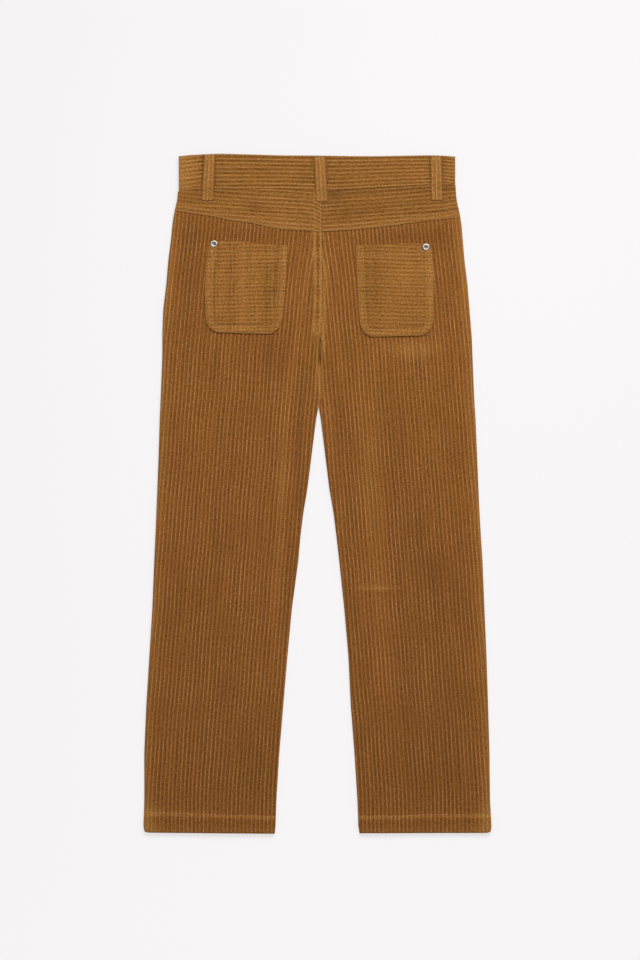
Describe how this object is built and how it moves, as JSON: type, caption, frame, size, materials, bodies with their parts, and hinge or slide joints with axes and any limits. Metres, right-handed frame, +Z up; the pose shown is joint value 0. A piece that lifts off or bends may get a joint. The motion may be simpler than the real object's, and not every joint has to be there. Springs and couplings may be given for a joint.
{
  "type": "corduroy trousers",
  "caption": "Child's straight-leg corduroy trousers with wide ribs, laid flat back side up, with a yoke, belt loops and riveted patch pockets.",
  "frame": {"origin": "on the surface that the garment lies on, under the middle of its bounding box", "axes": "+X across to the wearer's right side, +Y along the legs up to the waist, +Z up off the surface, out of the garment's back"},
  "size_m": [0.3898, 0.7608, 0.0104],
  "materials": {
    "corduroy_panel": "matt cotton corduroy, golden brown, ribs lengthways",
    "corduroy_trim": "matt cotton corduroy, golden brown, ribs across",
    "corduroy_loop": "matt cotton corduroy, folded strip",
    "nickel": "nickel-plated brass, satin",
    "sewing_thread": "golden-brown topstitch thread"
  },
  "bodies": {
    "root": {"front_left": "corduroy_panel", "front_right": "corduroy_panel", "back_left": "corduroy_panel", "back_right": "corduroy_panel", "yoke_left": "corduroy_trim", "yoke_right": "corduroy_trim", "waistband": "corduroy_trim", "pocket_left": "corduroy_trim", "pocket_right": "corduroy_trim", "back_loop_left": "corduroy_loop", "back_loop_centre": "corduroy_loop", "back_loop_right": "corduroy_loop", "front_loop_left": "corduroy_loop", "front_loop_right": "corduroy_loop", "rivet_left": "nickel", "rivet_right": "nickel", "front_button": "nickel"}
  },
  "joints": []
}
